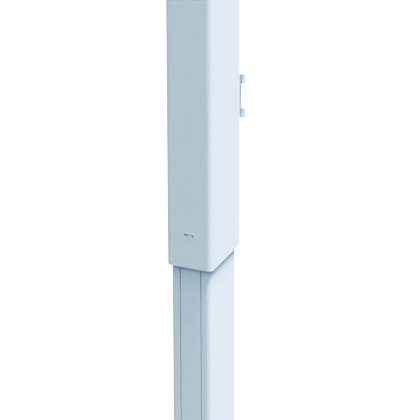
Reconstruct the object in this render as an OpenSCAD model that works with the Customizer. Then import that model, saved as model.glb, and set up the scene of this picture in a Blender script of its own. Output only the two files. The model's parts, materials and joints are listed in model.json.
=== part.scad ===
// Charging post for electric vehicles: a slim mast with a cable channel carries a wider housing.
// Millimetres. +Z is up, the front with the release slot faces -Y, the socket outlet faces +Y.
// The origin is the centre of the base plate's underside.

/* [Housing] */
// Width of the housing, side to side
housing_w = 120; // [118:1:150]
// Depth of the housing, front to rear
housing_d = 185; // [180:1:225]
// Height of the housing shell
housing_h = 875; // [865:5:1100]
// Height of the housing's lower edge above the ground
housing_z = 550; // [450:5:700]
// Outer radius of the housing's upright edges
housing_r = 13.5; // [8:0.5:14]
// Wall of the housing shell
housing_wall = 3; // [2.5:0.1:3.5]

/* [Mast] */
// How far the housing stands out past each side of the mast
overhang_x = 8; // [7:0.5:10]
// How far the housing stands out past the front and rear of the mast
overhang_y = 10; // [9:0.5:13]
// Outer radius of the mast's upright edges
mast_r = 12; // [8:0.5:13]
// Wall of the mast
mast_wall = 4; // [3.5:0.1:5]
// Height of mast inside the housing
mast_overlap = 100; // [98:1:120]
// Width of the cable cover strip
strip_w = 51.8; // [46:0.2:56]
// Open groove between the strip and the mast on each side
strip_groove = 2.5; // [2:0.1:4]
// Depth of the cable channel behind the strip
channel_depth = 10; // [8.5:0.5:12]

/* [Base] */
// Width of the base plate
base_w = 200; // [170:1:240]
// Depth of the base plate
base_d = 250; // [245:1:320]
// Thickness of the base plate
base_t = 12; // [10:0.5:15]
// Distance between the anchor holes across the width
anchor_x = 150; // [130:1:155]
// Distance between the anchor holes along the depth
anchor_y = 200; // [200:1:212]
// Radius of the anchor holes
anchor_r = 7; // [6:0.5:8]
// Radius of the cable entry through the base plate
entry_r = 35; // [25:1:38]

/* [Outlet] */
// Height of the outlet's centre above the housing's lower edge
outlet_rise = 390; // [340:1:460]
// Height of the outlet frame
outlet_h = 112; // [110:1:130]
// Thickness of the outlet frame
outlet_t = 4; // [3:0.5:5]
// Outer radius of the socket barrel
barrel_r = 36.5; // [36:0.1:36.5]
// Inner radius of the socket's shroud
shroud_r = 33.5; // [33:0.1:34]
// Radius of the contact insert
insert_r = 27.5; // [27:0.1:28]
// Depth of the socket barrel behind the housing's rear face
barrel_depth = 52; // [50:1:54]
// Height of the lid above the outlet frame
lid_t = 15; // [14:0.5:15.5]
// Radius of the hinge pins
pin_r = 2; // [1.5:0.1:2.5]
// Height of each lid knuckle
knuckle_h = 17; // [14:0.5:18]

/* [Release slot] */
// Width of the slot's cavity
slot_w = 25.5; // [24:0.5:32]
// Height of the slot's cavity
slot_h = 11; // [10:0.5:14]
// Height of the slot's centre above the housing's lower edge
slot_rise = 87; // [80:1:88]
// Width of the rim round the slot
slot_rim = 2.3; // [1.5:0.1:4]
// Travel of the release slider
slider_travel = 8; // [6:0.5:9]

/* [Service panel] */
// Width of the rear service panel
panel_w = 83; // [80:0.5:84]
// Thickness of the service panel
panel_t = 2; // [1.5:0.1:2.2]
// Gap round the service panel
panel_gap = 0.5; // [0.4:0.1:1.5]
// Distance from each end of the housing to the service panel
panel_margin = 48; // [44:1:60]

/* [Hidden] */

// Clearances: between shafts and bores, between flat faces that slide, and of pieces that drop in.
run_gap = 0.05;
slide_gap = 0.2;
drop_gap = 0.3;
// A cut runs this far past the face that it opens.
past = 1;
$fn = 48;

// Housing and mast outlines.
half_w = housing_w / 2;
half_d = housing_d / 2;
inner_w = housing_w - 2 * housing_wall;
inner_d = housing_d - 2 * housing_wall;
inner_r = housing_r - housing_wall;
housing_top = housing_z + housing_h;
mast_w = housing_w - 2 * overhang_x;
mast_d = housing_d - 2 * overhang_y;
mast_top = housing_z + mast_overlap;
mast_front = -mast_d / 2;
channel_half = strip_w / 2 + strip_groove;
port_x = mast_w / 2 - mast_wall - 4.5;
port_y = mast_d / 2 - 20;
port_r = 5.5;
screw_r = 2.5;
strip_t = 2.5;
collar_t = 2;
collar_z = housing_z + 14;
collar_h = 14;

// Head plate, chassis and its rows of devices.
head_t = 5;
head_top = mast_top + head_t;
cable_hole_r = 30;
sheet = 2;
chassis_half = 48;
chassis_y = -50;
chassis_front = chassis_y + sheet;
chassis_flange = 36;
bracket_t = 3;
bracket_z = housing_top - 33;
bracket_half_y = 60;
side_screw_y = 30;
side_screw_z = bracket_z - 10;
side_head = 2;
foot_screw_x = 30;
foot_screw_y = chassis_y + 22;
rail_h = 35;
rail_depth = 7.5;
rail_lip = 4;
rail_t = 1;
rail_front = chassis_front + rail_depth;
row_first = 90;
row_pitch = 105;
module_w = 17.5;
device_h = 85;
nose_h = 45;
shoulder_depth = 44;
breaker_depth = 68;
contactor_depth = 60;
meter_depth = 63;
controller_depth = 58;
supply_depth = 55;
function row_z(i) = head_top + row_first + i * row_pitch;

// Breaker lever.
lever_hub_r = 5;
lever_w = 15;
lever_sink = 6;
lever_reach = 15;
lever_rest = 35;

// Cap and light ring.
ring_h = 12;
ring_wall = 4;
ring_inset = 1;
ring_flange = 2;
cap_h = 13;
cap_taper = 7;
cap_boss_r = 6;
cap_boss_y = 35;
board_t = 1.6;

// Service panel, its frame and its locks.
panel_z0 = housing_z + panel_margin;
panel_h = housing_h - 2 * panel_margin;
frame_t = 3;
frame_y = half_d - housing_wall - frame_t;
frame_half = panel_w / 2 + 4.5;
frame_inner_half = panel_w / 2 - 4.5;
frame_lap = 5;
lock_x = 24;
lock_r = 9;
lock_flange_r = 11;
lock_flange_t = 2;
rotor_r = 5.5;
nut_t = 3;
cam_t = 3;
cam_w = 12;
cam_reach = 20;
cam_back = frame_y - drop_gap;
lower_lock_z = mast_top + 50;
upper_lock_z = panel_z0 + panel_h - 60;
hook_t = 2;
hook_h = 30;
hook_reach = 6;
reader_w = 60;
reader_z = housing_z + 570;
reader_lip = 4;

// Outlet: everything is placed from the outlet's centre height and the housing's rear face.
outlet_z = housing_z + outlet_rise;
outlet_w = housing_w - 2;
outlet_face = half_d + outlet_t;
flange_half = 38;
flange_t = 3;
socket_screw = 30;
clamp_t = 2;
clamp_h = 28;
clamp_z = 40;
shroud_flat = 24;
insert_flat = 18;
insert_face = half_d - 6;
barrel_back = half_d - barrel_depth;
barrel_floor = 4;
power_r = 4;
signal_r = 2.4;
sleeve_wall = 1;
// Each contact: across, up, outer radius of its sleeve.
contacts = [
    [0, 0, power_r], [-17, 0, power_r], [17, 0, power_r], [-8.5, -15, power_r],
    [8.5, -15, power_r], [-8, 12, signal_r], [8, 12, signal_r]
];
lock_pin_r = 2.5;
lock_pin_y = half_d - 18;
lock_pin_len = 26;
actuator_z = 37.5;
actuator_h = 26;
actuator_half_x = 15;
actuator_half_y = 12;

// Lid and hinge.
pin_x = half_w + 4;
pin_y = outlet_face + 0.5;
knuckle_r = 4.5;
ear_t = 3;
knuckle_z = (outlet_h - knuckle_h) / 2 - ear_t - slide_gap;
lid_half_w = half_w - 14;
lid_half_h = outlet_h / 2 - 6;
lid_wall = 2.5;
lid_r = 8;
lid_gasket_t = 1.5;
lid_back = outlet_face + lid_gasket_t;
lid_top = outlet_face + lid_t;
arm_top = pin_y + knuckle_r;

// Release slot: a cup through the front wall, a slider in it and a keeper on the mast.
slot_z = housing_z + slot_rise;
rim_out = 1;
cup_depth = 7;
cup_back = -half_d + cup_depth;
cup_floor = 1.2;
slider_w = 9;
tongue_t = 1.5;
tongue_h = 8;
tongue_y = cup_back + slide_gap;
tongue_end = slot_w / 2 + 4;
slit_h = 5;
pad_x = slider_travel / 2;
keeper_w = 8;
keeper_h = 14;
keeper_wall = 1.4;

// Route of the lead: from the contactor's underside, as [y, z] from there, then up to the socket's
// back, as [y, z] from its centre.
lead_r = 5;
lead_out = [[-15, -0.1], [-15, -5], [-9, -10], [4, -10.5], [18, -9]];
lead_in = [[-12, -38], [-9.5, -26], [-8.5, -15], [-7, -6], [-3, 0], [-0.1, 0]];

module rounded_rect(w, d, r) {
    square([w, d - 2 * r], center = true);
    square([w - 2 * r, d], center = true);
    for (x = [-1, 1], y = [-1, 1]) translate([x * (w / 2 - r), y * (d / 2 - r)]) circle(r);
}

// A box by its corners.
module block(low, high) {
    translate(low) cube(high - low);
}

// A cylinder along +Y from y0 to y1.
module rod_y(x, z, r, y0, y1) {
    translate([x, y0, z]) rotate([-90, 0, 0]) cylinder(h = y1 - y0, r = r);
}

// A cylinder along +X from x0 to x1.
module rod_x(y, z, r, x0, x1) {
    translate([x0, y, z]) rotate([0, 90, 0]) cylinder(h = x1 - x0, r = r);
}

// A plate in the XZ plane with rounded corners, from y0 to y1, centred at height z.
module plate_y(w, h, r, y0, y1, z) {
    translate([0, y1, z]) rotate([90, 0, 0]) linear_extrude(y1 - y0) rounded_rect(w, h, r);
}

// A screw along -Z: head on top of z, shank below it.
module screw_down(x, y, z, r, length) {
    translate([x, y, z]) cylinder(h = r, r = r * 1.8);
    translate([x, y, z - length]) cylinder(h = length + 0.01, r = r);
}

module base_plate() {
    color("slategray") difference() {
        linear_extrude(base_t) rounded_rect(base_w, base_d, 10);
        translate([0, 0, -past]) cylinder(h = base_t + 2 * past, r = entry_r);
        for (x = [-1, 1], y = [-1, 1])
            translate([x * anchor_x / 2, y * anchor_y / 2, -past])
                cylinder(h = base_t + 2 * past, r = anchor_r);
    }
}

module mast_section() {
    difference() {
        union() {
            difference() {
                rounded_rect(mast_w, mast_d, mast_r);
                difference() {
                    rounded_rect(mast_w - 2 * mast_wall, mast_d - 2 * mast_wall, mast_r - mast_wall);
                    translate([-channel_half - mast_wall, mast_front])
                        square([2 * (channel_half + mast_wall), channel_depth + mast_wall]);
                }
            }
            for (x = [-1, 1], y = [-1, 1]) translate([x * port_x, y * port_y]) circle(port_r);
        }
        translate([-channel_half, mast_front - past]) square([2 * channel_half, channel_depth + past]);
        for (x = [-1, 1], y = [-1, 1])
            translate([x * port_x, y * port_y]) circle(screw_r + run_gap);
    }
}

module mast() {
    color("lightsteelblue") translate([0, 0, base_t]) linear_extrude(mast_top - base_t) mast_section();
}

// The strip is flush with the mast and stands on two snap legs in the channel.
module cable_cover_strip() {
    strip_top = housing_z + 8;
    color("lightsteelblue") translate([0, 0, base_t]) linear_extrude(strip_top - base_t) {
        translate([-strip_w / 2, mast_front]) square([strip_w, strip_t]);
        for (x = [-1, 1])
            translate([x * (strip_w / 2 - 6) - 1, mast_front + strip_t - 0.01])
                square([2, channel_depth - strip_t + 0.01]);
    }
}

// Closes the gap between the housing and the mast from inside the housing.
module closing_collar() {
    color("dimgray") {
        difference() {
            translate([0, 0, collar_z]) linear_extrude(collar_h) difference() {
                rounded_rect(inner_w - 2 * drop_gap, inner_d - 2 * drop_gap, inner_r - drop_gap);
                rounded_rect(inner_w - 2 * drop_gap - 2 * collar_t,
                    inner_d - 2 * drop_gap - 2 * collar_t, inner_r - drop_gap - collar_t);
            }
        }
        translate([0, 0, collar_z]) linear_extrude(collar_t) difference() {
            rounded_rect(inner_w - 2 * drop_gap - 1, inner_d - 2 * drop_gap - 1, inner_r - drop_gap - 0.5);
            rounded_rect(mast_w + 2 * drop_gap, mast_d + 2 * drop_gap, mast_r + drop_gap);
        }
    }
}

module head_plate() {
    color("silver") difference() {
        translate([0, 0, mast_top]) linear_extrude(head_t) intersection() {
            rounded_rect(inner_w - 2 * drop_gap, inner_d - 2 * drop_gap, inner_r - drop_gap);
            translate([-half_w, -half_d]) square([housing_w, half_d + frame_y - drop_gap]);
        }
        translate([0, 10, mast_top - past]) cylinder(h = head_t + 2 * past, r = cable_hole_r);
        for (x = [-1, 1], y = [-1, 1])
            translate([x * port_x, y * port_y, mast_top - past])
                cylinder(h = head_t + 2 * past, r = screw_r + run_gap);
    }
}

module head_screws() {
    color("gainsboro") for (x = [-1, 1], y = [-1, 1])
        screw_down(x * port_x, y * port_y, head_top, screw_r, 22);
}

// Earthing stud with two nuts on the head plate.
module earth_stud() {
    stud_r = 4;
    color("goldenrod") translate([-chassis_half + 12, 40, head_top]) {
        cylinder(h = 28, r = stud_r);
        for (z = [0, 14]) translate([0, 0, z]) cylinder(h = 6, r = stud_r * 1.8, $fn = 6);
    }
}

module slot_outline(w, h, r, y0, y1) {
    plate_y(w, h, r, y0, y1, slot_z);
}

// The light ring's joint, the side screws, the rear opening and the slot all cut the shell.
module housing_shell() {
    color("aliceblue") difference() {
        translate([0, 0, housing_z]) linear_extrude(housing_h) rounded_rect(housing_w, housing_d, housing_r);
        translate([0, 0, housing_z - past])
            linear_extrude(housing_h + 2 * past) rounded_rect(inner_w, inner_d, inner_r);
        block([-panel_w / 2 - panel_gap, half_d - housing_wall - past, panel_z0 - panel_gap],
            [panel_w / 2 + panel_gap, half_d + past, panel_z0 + panel_h + panel_gap]);
        slot_outline(slot_w + slot_rim + slide_gap, slot_h + slot_rim + slide_gap, 3,
            -half_d - past, -half_d + housing_wall + past);
        for (x = [-1, 1], y = [-1, 1])
            rod_x(y * side_screw_y, side_screw_z, screw_r + run_gap,
                x > 0 ? half_w - housing_wall - past : -half_w - past,
                x > 0 ? half_w + past : -half_w + housing_wall + past);
    }
}

module housing_screws() {
    color("silver") for (x = [-1, 1], y = [-1, 1]) {
        inner_end = half_w - housing_wall - 12;
        rod_x(y * side_screw_y, side_screw_z, screw_r, x > 0 ? inner_end : -half_w,
            x > 0 ? half_w : -inner_end);
        rod_x(y * side_screw_y, side_screw_z, screw_r * 1.8, x > 0 ? half_w : -half_w - side_head,
            x > 0 ? half_w + side_head : -half_w);
    }
}

// Translucent band between the shell and the cap, with a flange that carries the light board.
module light_ring() {
    outer_w = housing_w - 2 * ring_inset;
    outer_d = housing_d - 2 * ring_inset;
    outer_r = housing_r - ring_inset;
    color("honeydew") difference() {
        translate([0, 0, housing_top]) linear_extrude(ring_h) rounded_rect(outer_w, outer_d, outer_r);
        translate([0, 0, housing_top + ring_flange]) linear_extrude(ring_h) rounded_rect(
            outer_w - 2 * ring_wall, outer_d - 2 * ring_wall, outer_r - ring_wall);
        translate([0, 0, housing_top - past]) linear_extrude(ring_h)
            rounded_rect(inner_w - 24, inner_d - 24, 4);
    }
}

module light_board() {
    board_w = housing_w - 2 * ring_inset - 2 * ring_wall - 2 * drop_gap;
    board_d = housing_d - 2 * ring_inset - 2 * ring_wall - 2 * drop_gap;
    board_z = housing_top + ring_flange;
    led = 3;
    color("forestgreen") {
        translate([0, 0, board_z]) linear_extrude(board_t) difference() {
            rounded_rect(board_w, board_d, housing_r - ring_inset - ring_wall - drop_gap);
            rounded_rect(inner_w - 22, inner_d - 22, 4);
        }
        for (s = [-1, 1], i = [-3:3])
            translate([s * (board_w / 2 - 3), i * 22, board_z + board_t + led / 2 - 0.01])
                cube(led, center = true);
        for (s = [-1, 1], i = [-1:1])
            translate([i * 28, s * (board_d / 2 - 3), board_z + board_t + led / 2 - 0.01])
                cube(led, center = true);
    }
}

// Low sloped lid on top, with two bosses that stand on the upper bracket.
module top_cap() {
    cap_z = housing_top + ring_h;
    color("aliceblue") {
        translate([0, 0, cap_z]) hull() {
            linear_extrude(cap_h - 5) rounded_rect(housing_w, housing_d, housing_r, $fn = 32);
            linear_extrude(cap_h)
                rounded_rect(housing_w - 2 * cap_taper, housing_d - 2 * cap_taper, housing_r - cap_taper,
                    $fn = 32);
        }
        for (y = [-1, 1]) translate([0, y * cap_boss_y, bracket_z + bracket_t]) difference() {
            cylinder(h = cap_z - bracket_z - bracket_t + 1, r = cap_boss_r);
            translate([0, 0, -past]) cylinder(h = 24, r = screw_r + run_gap);
        }
    }
}

module cap_screws() {
    color("silver") for (y = [-1, 1]) translate([0, y * cap_boss_y, bracket_z]) {
        translate([0, 0, -screw_r]) cylinder(h = screw_r, r = screw_r * 1.8);
        translate([0, 0, -0.01]) cylinder(h = 20, r = screw_r);
    }
}

// Bridge across the housing with a flange down each side wall.
module upper_bracket() {
    flange_h = 20;
    bracket_half = inner_w / 2;
    color("silver") difference() {
        union() {
            block([-bracket_half, -bracket_half_y, bracket_z],
                [bracket_half, bracket_half_y, bracket_z + bracket_t]);
            for (x = [-1, 1])
                block([x > 0 ? bracket_half - bracket_t : -bracket_half, -bracket_half_y,
                        bracket_z - flange_h],
                    [x > 0 ? bracket_half : -bracket_half + bracket_t, bracket_half_y, bracket_z + 1]);
        }
        for (y = [-1, 1]) {
            translate([0, y * cap_boss_y, bracket_z - past])
                cylinder(h = bracket_t + 2 * past, r = screw_r + run_gap);
            rod_x(y * side_screw_y, side_screw_z, screw_r + run_gap, -half_w, half_w);
        }
        translate([0, 0, bracket_z - past]) cylinder(h = bracket_t + 2 * past, r = 15);
    }
}

// Sheet with a flange at each end: it stands on the head plate and meets the upper bracket.
module chassis_plate() {
    color("lightgray") difference() {
        union() {
            block([-chassis_half, chassis_y, head_top], [chassis_half, chassis_front, bracket_z]);
            for (z = [head_top, bracket_z - sheet])
                block([-chassis_half, chassis_y, z], [chassis_half, chassis_y + chassis_flange, z + sheet]);
        }
        for (x = [-1, 1], z = [head_top, bracket_z - sheet])
            translate([x * foot_screw_x, foot_screw_y, z - past])
                cylinder(h = sheet + 2 * past, r = screw_r + run_gap);
        translate([0, -cap_boss_y, bracket_z - sheet - past]) cylinder(h = sheet + 2 * past, r = 8);
    }
}

module chassis_screws() {
    color("silver") for (x = [-1, 1], z = [head_top + sheet, bracket_z - sheet - screw_r])
        translate([x * foot_screw_x, foot_screw_y, z]) cylinder(h = screw_r, r = screw_r * 1.8);
}

module rail_section() {
    half = rail_h / 2;
    web = half - rail_lip;
    square([rail_t, 2 * web], center = true);
    for (s = [-1, 1]) {
        translate([-rail_t / 2, s > 0 ? web - rail_t : -web]) square([rail_depth, rail_t]);
        translate([rail_depth - 1.5 * rail_t, s > 0 ? web - rail_t : -half])
            square([rail_t, rail_lip + rail_t]);
    }
}

module din_rails() {
    color("silver") for (i = [0:5])
        translate([-chassis_half + 2, chassis_front + rail_t / 2, row_z(i)])
            rotate([90, 0, 90]) linear_extrude(2 * chassis_half - 4) rail_section();
}

// Rail-mounted device: a full-height body with a narrower nose, and screw pockets on both shoulders.
module rail_device(x, row, modules, depth) {
    w = modules * module_w - 0.4;
    z = row_z(row);
    difference() {
        union() {
            block([x - w / 2, rail_front, z - device_h / 2],
                [x + w / 2, rail_front + shoulder_depth, z + device_h / 2]);
            block([x - w / 2, rail_front + shoulder_depth - 1, z - nose_h / 2],
                [x + w / 2, rail_front + depth, z + nose_h / 2]);
        }
        for (i = [0:modules - 1], s = [-1, 1])
            rod_y(x + (i + 0.5 - modules / 2) * module_w, z + s * (device_h / 2 - 10), 3,
                rail_front + shoulder_depth - 8, rail_front + shoulder_depth + past);
    }
}

// Five feed-through terminals between two end stops.
module terminal_block() {
    z = row_z(0);
    color("lightgray") for (i = [0:6]) {
        stop = i == 0 || i == 6;
        tall = stop ? 40 : 52;
        deep = stop ? 30 : 46;
        x = (i - 3) * 12.5;
        difference() {
            block([x - 6.1, rail_front, z - tall / 2], [x + 6.1, rail_front + deep, z + tall / 2]);
            if (!stop) for (s = [-1, 1])
                rod_y(x, z + s * 15, 3.5, rail_front + deep - 12, rail_front + deep + past);
        }
    }
}

module breaker_body() {
    front = rail_front + breaker_depth;
    color("whitesmoke") difference() {
        rail_device(0, 1, 4, breaker_depth);
        block([-lever_w / 2 - 0.5, front - lever_sink - lever_hub_r - 0.5, row_z(1) - 11],
            [lever_w / 2 + 0.5, front + past, row_z(1) + 11]);
        rod_x(front - lever_sink, row_z(1), 1.5 + run_gap, -lever_w / 2 - 5, lever_w / 2 + 5);
    }
}

// Hub with a trunnion at each end and a paddle, standing in the on position.
module breaker_lever() {
    axis_y = rail_front + breaker_depth - lever_sink;
    color("midnightblue") translate([0, axis_y, row_z(1)]) {
        rod_x(0, 0, lever_hub_r, -lever_w / 2, lever_w / 2);
        rod_x(0, 0, 1.5, -lever_w / 2 - 4, lever_w / 2 + 4);
        rotate([lever_rest, 0, 0]) block([-lever_w / 2, 0, -2], [lever_w / 2, lever_reach, 2]);
    }
}

module contactor() {
    color("darkgray") rail_device(0, 2, 3, contactor_depth);
}

module energy_meter() {
    front = rail_front + meter_depth;
    color("whitesmoke") difference() {
        rail_device(0, 3, 4, meter_depth);
        block([-20, front - 1, row_z(3) - 4], [20, front + past, row_z(3) + 12]);
    }
}

module charge_controller() {
    front = rail_front + controller_depth;
    color("darkslategray") difference() {
        rail_device(0, 4, 6, controller_depth);
        block([-40, front - 2, row_z(4) + 8], [40, front + past, row_z(4) + 16]);
    }
}

module power_supply() {
    color("gray") rail_device(-module_w * 1.5, 5, 3, supply_depth);
}

module modem() {
    front = rail_front + supply_depth;
    color("dimgray") {
        rail_device(module_w * 1.5, 5, 2, supply_depth);
        rod_y(module_w * 1.5, row_z(5) + 10, 3.5, front - 0.01, front + 9);
    }
}

// Flat antenna under the cap, on the upper bracket.
module antenna() {
    color("black") translate([0, 0, bracket_z + bracket_t]) {
        linear_extrude(4) rounded_rect(60, 40, 6);
        translate([0, 0, 3.9]) cylinder(h = 14, r = 9);
    }
}

module panel_frame() {
    z0 = panel_z0 - frame_lap;
    h = panel_h + 2 * frame_lap;
    color("silver") difference() {
        block([-frame_half, frame_y, z0], [frame_half, frame_y + frame_t, z0 + h]);
        block([-frame_inner_half, frame_y - past, z0 + 2 * frame_lap],
            [frame_inner_half, frame_y + frame_t + past, z0 + h - 2 * frame_lap]);
    }
}

module panel_gasket() {
    gasket_y = half_d - housing_wall;
    color("black") difference() {
        block([-panel_w / 2 + 0.5, gasket_y, panel_z0 + 0.5],
            [panel_w / 2 - 0.5, half_d - panel_t, panel_z0 + panel_h - 0.5]);
        block([-frame_inner_half, gasket_y - past, panel_z0 + frame_lap],
            [frame_inner_half, half_d, panel_z0 + panel_h - frame_lap]);
    }
}

// The panel hooks behind its frame on one side, and its two locks hold the other.
module service_panel() {
    window = reader_w - 2 * reader_lip;
    hook_x = drop_gap - frame_inner_half;
    hook_y = frame_y - drop_gap;
    color("aliceblue") difference() {
        union() {
            block([-panel_w / 2, half_d - panel_t, panel_z0], [panel_w / 2, half_d, panel_z0 + panel_h]);
            for (z = [lower_lock_z, upper_lock_z]) {
                block([hook_x, hook_y - hook_t, z - hook_h / 2],
                    [hook_x + hook_t, half_d - panel_t + 0.01, z + hook_h / 2]);
                block([hook_x - hook_reach, hook_y - hook_t, z - hook_h / 2],
                    [hook_x + 0.01, hook_y, z + hook_h / 2]);
            }
        }
        block([-barrel_r - 0.3, half_d - panel_t - past, outlet_z - barrel_r - 0.3],
            [barrel_r + 0.3, half_d + past, outlet_z + barrel_r + 0.3]);
        for (z = [lower_lock_z, upper_lock_z])
            rod_y(lock_x, z, lock_r + run_gap, half_d - panel_t - past, half_d + past);
        plate_y(window, window, 3, half_d - panel_t - past, half_d + past, reader_z);
    }
}

module lock_barrel(z) {
    color("silver") difference() {
        union() {
            rod_y(lock_x, z, lock_r, cam_back + 0.3, half_d);
            rod_y(lock_x, z, lock_flange_r, half_d, half_d + lock_flange_t);
        }
        rod_y(lock_x, z, rotor_r + run_gap, cam_back - past, half_d + lock_flange_t + past);
    }
}

// Key insert and shaft in the barrel, with the cam behind it pointing to +X over the frame.
module lock_rotor(z) {
    color("darkgray") {
        difference() {
            rod_y(lock_x, z, rotor_r, cam_back - 0.01, half_d + 1);
            rod_y(lock_x, z, 4.2, half_d - 3, half_d + 1 + past);
        }
        translate([lock_x, half_d - 3.01, z]) rotate([-90, 90, 0]) cylinder(h = 3.6, r = 3.4, $fn = 3);
        block([lock_x - cam_w / 2, cam_back - cam_t, z - cam_w / 2],
            [lock_x + cam_reach, cam_back, z + cam_w / 2]);
    }
}

module lower_lock_barrel() { lock_barrel(lower_lock_z); }

module lower_lock_rotor() { lock_rotor(lower_lock_z); }

module upper_lock_barrel() { lock_barrel(upper_lock_z); }

module upper_lock_rotor() { lock_rotor(upper_lock_z); }

module lock_nuts() {
    color("gainsboro") for (z = [lower_lock_z, upper_lock_z]) difference() {
        translate([lock_x, half_d - panel_t - nut_t, z])
            rotate([-90, 0, 0]) cylinder(h = nut_t, r = 12.4, $fn = 6);
        rod_y(lock_x, z, lock_r + run_gap, half_d - panel_t - nut_t - past, half_d - panel_t + past);
    }
}

module reader_window() {
    window = reader_w - 2 * reader_lip - 2 * slide_gap;
    color("black") {
        plate_y(reader_w, reader_w, 6, half_d, half_d + 2, reader_z);
        plate_y(window, window, 3, half_d - panel_t - 1, half_d + 0.01, reader_z);
    }
}

module reader_board() {
    back = half_d - panel_t - 1;
    color("forestgreen") {
        plate_y(46, 46, 2, back - board_t, back, reader_z);
        block([-8, back - board_t - 6, reader_z - 15], [8, back - board_t + 0.01, reader_z - 7]);
    }
}

// Cup with a raised rim; its floor has a slit for the slider's neck.
module slot_bezel() {
    color("slategray") difference() {
        union() {
            slot_outline(slot_w + 2 * slot_rim, slot_h + 2 * slot_rim, 3.5, -half_d - rim_out, -half_d);
            slot_outline(slot_w + slot_rim, slot_h + slot_rim, 3, -half_d - 0.01, cup_back);
        }
        slot_outline(slot_w, slot_h, 2, -half_d - rim_out - past, cup_back - cup_floor);
        block([-slot_w / 2 + 1.5, cup_back - cup_floor - past, slot_z - slit_h / 2],
            [slot_w / 2 - 1.5, cup_back + past, slot_z + slit_h / 2]);
    }
}

// Thumb pad, neck and tongue; the tongue's end sits in the keeper.
module release_slider() {
    pad_back = cup_back - cup_floor - slide_gap;
    color("dimgray") {
        block([pad_x - slider_w / 2, -half_d + 1, slot_z - slot_h / 2 + 1],
            [pad_x + slider_w / 2, pad_back, slot_z + slot_h / 2 - 1]);
        for (i = [-1:1])
            block([pad_x + i * 2.6 - 0.5, -half_d + 0.4, slot_z - slot_h / 2 + 2],
                [pad_x + i * 2.6 + 0.5, -half_d + 1.01, slot_z + slot_h / 2 - 2]);
        block([pad_x - 3, pad_back - 0.01, slot_z - slit_h / 2 + slide_gap],
            [pad_x + 3, tongue_y + 0.01, slot_z + slit_h / 2 - slide_gap]);
        block([pad_x - 8, tongue_y, slot_z - tongue_h / 2],
            [tongue_end, tongue_y + tongue_t, slot_z + tongue_h / 2]);
    }
}

// Block on the channel floor with a pocket for the tongue.
module latch_keeper() {
    x0 = slot_w / 2 + 2.3;
    floor_y = mast_front + channel_depth;
    front_y = tongue_y - keeper_wall;
    color("silver") difference() {
        block([x0, front_y, slot_z - keeper_h / 2], [x0 + keeper_w, floor_y, slot_z + keeper_h / 2]);
        block([x0 - past, tongue_y - slide_gap, slot_z - tongue_h / 2 - slide_gap],
            [tongue_end + 1, tongue_y + tongue_t + slide_gap, slot_z + tongue_h / 2 + slide_gap]);
    }
}

// Flat frame on the housing's rear face, with two pairs of ears for the hinge pins.
module outlet_frame() {
    color("dimgray") difference() {
        union() {
            block([-outlet_w / 2, half_d, outlet_z - outlet_h / 2],
                [outlet_w / 2, outlet_face, outlet_z + outlet_h / 2]);
            for (s = [-1, 1], e = [-1, 1]) {
                z = outlet_z + s * knuckle_z + e * (knuckle_h / 2 + ear_t / 2 + slide_gap);
                translate([pin_x, pin_y, z]) cylinder(h = ear_t, r = knuckle_r, center = true);
                block([half_w - 8, half_d, z - ear_t / 2], [pin_x, pin_y + knuckle_r, z + ear_t / 2]);
            }
        }
        rod_y(0, outlet_z, barrel_r + 0.3, half_d - past, outlet_face + past);
        for (x = [-1, 1], z = [-1, 1])
            rod_y(x * socket_screw, outlet_z + z * socket_screw, screw_r + run_gap,
                half_d - past, outlet_face + past);
        for (s = [-1, 1]) translate([pin_x, pin_y, outlet_z + s * knuckle_z])
            cylinder(h = knuckle_h + 4 * ear_t, r = pin_r + run_gap / 2, center = true);
    }
}

// A circle with a flat across its top, along +Y.
module keyed_rod(r, flat, y0, y1) {
    intersection() {
        rod_y(0, outlet_z, r, y0, y1);
        block([-r - past, y0 - past, outlet_z - r - past], [r + past, y1 + past, outlet_z + flat]);
    }
}

module socket_body() {
    color("black") difference() {
        union() {
            plate_y(2 * flange_half, 2 * flange_half, 6, outlet_face, outlet_face + flange_t, outlet_z);
            rod_y(0, outlet_z, barrel_r, barrel_back, outlet_face + 0.01);
            block([-10, lock_pin_y - actuator_half_y, outlet_z + 26],
                [10, lock_pin_y + actuator_half_y, outlet_z + actuator_z]);
        }
        keyed_rod(shroud_r, shroud_flat, barrel_back + barrel_floor, outlet_face + flange_t + past);
        for (x = [-1, 1], z = [-1, 1])
            rod_y(x * socket_screw, outlet_z + z * socket_screw, screw_r + run_gap,
                outlet_face - past, outlet_face + flange_t + past);
        translate([0, lock_pin_y, outlet_z + shroud_flat - past])
            cylinder(h = actuator_z - shroud_flat + 2 * past, r = lock_pin_r + run_gap);
    }
}

module socket_insert() {
    color("dimgray") difference() {
        keyed_rod(insert_r, insert_flat, barrel_back + barrel_floor, insert_face);
        for (c = contacts)
            rod_y(c[0], outlet_z + c[1], c[2] + run_gap, barrel_back + barrel_floor + 2, insert_face + past);
    }
}

module socket_contacts() {
    color("gold") for (c = contacts) difference() {
        rod_y(c[0], outlet_z + c[1], c[2], barrel_back + barrel_floor + 2, insert_face - 2);
        rod_y(c[0], outlet_z + c[1], c[2] - sleeve_wall, barrel_back + barrel_floor + 4, insert_face);
    }
}

// Two bars behind the panel take the socket's screws and draw the frame against the panel.
module outlet_clamps() {
    y1 = half_d - panel_t;
    color("silver") for (s = [-1, 1]) difference() {
        plate_y(2 * barrel_r, clamp_h, 3, y1 - clamp_t, y1, outlet_z + s * clamp_z);
        rod_y(0, outlet_z, barrel_r + 0.3, y1 - clamp_t - past, y1 + past);
        for (x = [-1, 1])
            rod_y(x * socket_screw, outlet_z + s * socket_screw, screw_r + run_gap,
                y1 - clamp_t - past, y1 + past);
    }
}

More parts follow.
